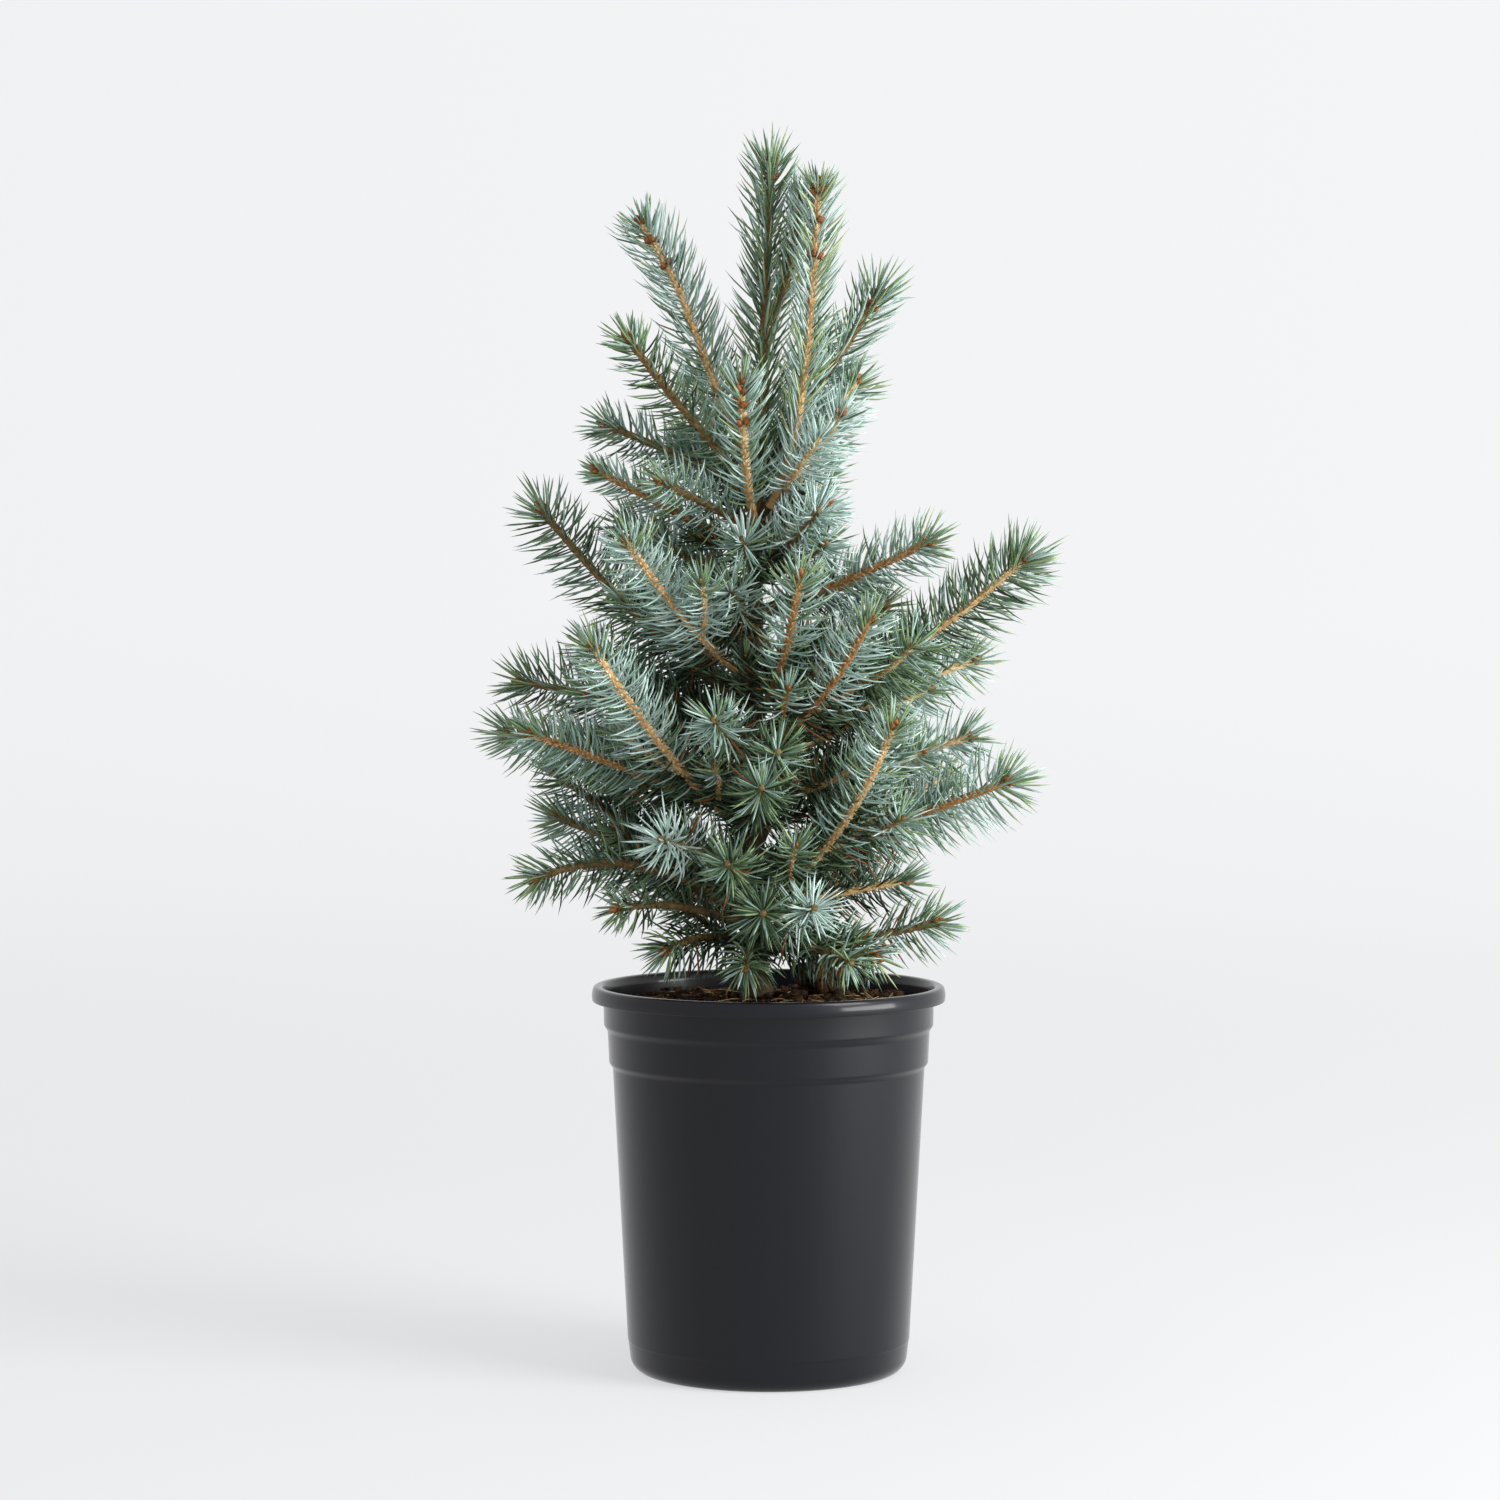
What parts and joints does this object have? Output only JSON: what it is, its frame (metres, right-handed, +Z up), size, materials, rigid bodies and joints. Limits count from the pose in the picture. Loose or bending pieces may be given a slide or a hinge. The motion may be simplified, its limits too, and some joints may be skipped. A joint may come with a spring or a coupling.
{
  "type": "potted blue spruce",
  "caption": "Young blue spruce tree with twin leading stems and open, upswept needled boughs, standing in a round tapered black plastic nursery pot with a rolled rim",
  "frame": {"origin": "middle of the pot's flat underside", "axes": "+Z up along the trunk, -Y towards the front of the plant"},
  "size_m": [0.307, 0.2518, 0.669],
  "materials": {
    "pot_plastic": "satin",
    "compost": "matte",
    "bark": "matte",
    "young_bark": "matte",
    "needles": "matte"
  },
  "bodies": {
    "root": {"pot": "pot_plastic", "soil": "compost", "trunk": "bark", "bough_coleader": "young_bark", "bough_upper_left": "young_bark", "bough_upper_right": "young_bark", "bough_second_left": "young_bark", "bough_mid_left": "young_bark", "bough_mid_front_left": "young_bark", "bough_mid_right": "young_bark", "bough_long_front_left": "young_bark", "bough_lower_mid_left": "young_bark", "bough_low_right": "young_bark", "bough_low_front_right": "young_bark", "bough_low_left": "young_bark", "bough_lowest_left": "young_bark", "bough_low_back": "young_bark", "needles_leader": "needles", "needles_coleader": "needles", "needles_upper_left": "needles", "needles_upper_right": "needles", "needles_second_left": "needles", "needles_third_left": "needles", "needles_upper_front": "needles", "needles_short_right": "needles", "needles_fourth_left": "needles", "needles_fifth_left": "needles", "needles_upper_back": "needles", "needles_upper_back_right": "needles", "needles_mid_left": "needles", "needles_mid_front_left": "needles", "needles_short_front": "needles", "needles_short_mid_right": "needles", "needles_mid_right": "needles", "needles_mid_back_right": "needles", "needles_lower_mid_right": "needles", "needles_mid_front": "needles", "needles_mid_front_right": "needles", "needles_long_front_left": "needles", "needles_lower_mid_left": "needles", "needles_far_left": "needles", "needles_front_star": "needles", "needles_back_mid_right": "needles", "needles_back_mid": "needles", "needles_back_mid_left": "needles", "needles_low_right": "needles", "needles_lowest_right": "needles", "needles_low_front_right": "needles", "needles_low_front": "needles", "needles_low_front_left": "needles", "needles_lowest_front": "needles", "needles_droop_front_right": "needles", "needles_low_left": "needles", "needles_lowest_left": "needles", "needles_droop_front_left": "needles", "needles_low_back_right": "needles", "needles_low_back": "needles", "needles_low_back_left": "needles", "needles_lowest_back_right": "needles", "needles_lowest_back": "needles"}
  },
  "joints": []
}
